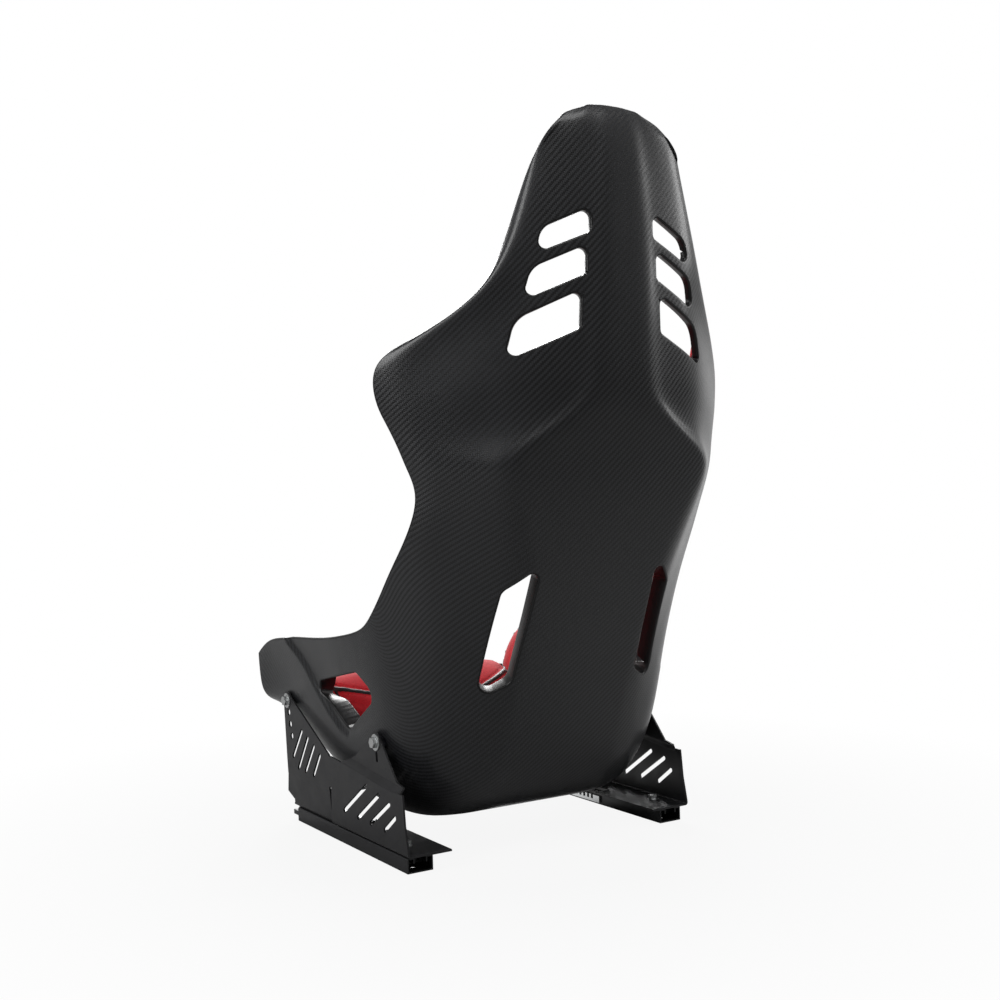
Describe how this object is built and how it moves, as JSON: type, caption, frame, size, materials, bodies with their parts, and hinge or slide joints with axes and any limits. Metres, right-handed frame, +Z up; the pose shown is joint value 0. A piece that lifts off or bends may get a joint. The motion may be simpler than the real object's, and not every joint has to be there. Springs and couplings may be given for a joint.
{
  "type": "racing seat",
  "caption": "Fixed-back bucket seat with a laminate shell, belt openings and cushions, on slotted side brackets and sliding floor rails.",
  "frame": {"origin": "middle of the overall width and depth, on the floor face of the rails", "axes": "+Z up; the occupant faces -Y; the seat's left side is +X"},
  "size_m": [0.5398, 0.6399, 0.945],
  "materials": {
    "laminate": "satin black woven laminate",
    "red_fabric": "knitted cover",
    "black_fabric": "knitted cover",
    "bracket_paint": "satin powder coat",
    "rail_paint": "satin black coat",
    "zinc": "zinc plated",
    "alloy": "turned, black anodised",
    "bearing_steel": "polished",
    "cage_plastic": "moulded",
    "spring_steel": "oiled"
  },
  "bodies": {
    "floor_rails": {"lower_rail_left": "rail_paint", "lower_rail_right": "rail_paint", "lock_rack_left": "zinc", "lock_rack_right": "zinc"},
    "seat": {"shell": "laminate", "shell_inserts": "alloy", "seat_cushion": "red_fabric", "knee_cushion": "red_fabric", "back_cushion": "red_fabric", "head_cushion": "black_fabric", "thigh_pad_left": "red_fabric", "thigh_pad_right": "red_fabric", "hip_pad_left": "red_fabric", "hip_pad_right": "red_fabric", "shoulder_pad_left": "red_fabric", "shoulder_pad_right": "red_fabric", "side_bolts": "zinc", "side_washers": "zinc", "rail_bolts": "zinc", "rail_washers": "zinc", "side_bracket_left": "bracket_paint", "side_bracket_right": "bracket_paint", "upper_rail_left": "rail_paint", "upper_rail_right": "rail_paint", "lever_rivets": "zinc", "release_springs": "spring_steel"},
    "release": {"release_bar": "rail_paint", "lock_lever_left": "zinc", "lock_lever_right": "zinc"},
    "cage_left": {"ball_strips_left": "cage_plastic", "rail_balls_left": "bearing_steel", "roller_cage_left": "cage_plastic", "rail_rollers_left": "bearing_steel"},
    "cage_right": {"ball_strips_right": "cage_plastic", "rail_balls_right": "bearing_steel", "roller_cage_right": "cage_plastic", "rail_rollers_right": "bearing_steel"}
  },
  "joints": [
    {"name": "seat_slide", "type": "slide", "parent": "floor_rails", "child": "seat", "axis": [0, -1, 0], "range_m": [-0.1, 0.08]},
    {"name": "release_hinge", "type": "hinge", "parent": "seat", "child": "release", "pos_m": [0, -0.069, 0.0165], "axis": [-1, 0, 0], "range_deg": [0, 8], "stiffness_Nm_per_rad": 8, "springref_deg": -14.32},
    {"name": "cage_left_slide", "type": "slide", "parent": "floor_rails", "child": "cage_left", "axis": [0, -1, 0], "range_m": [-0.05, 0.04]},
    {"name": "cage_right_slide", "type": "slide", "parent": "floor_rails", "child": "cage_right", "axis": [0, -1, 0], "range_m": [-0.05, 0.04]}
  ],
  "couplings": [
    {"joint": "cage_left_slide", "follows": "seat_slide", "ratio": 0.5},
    {"joint": "cage_right_slide", "follows": "seat_slide", "ratio": 0.5}
  ]
}
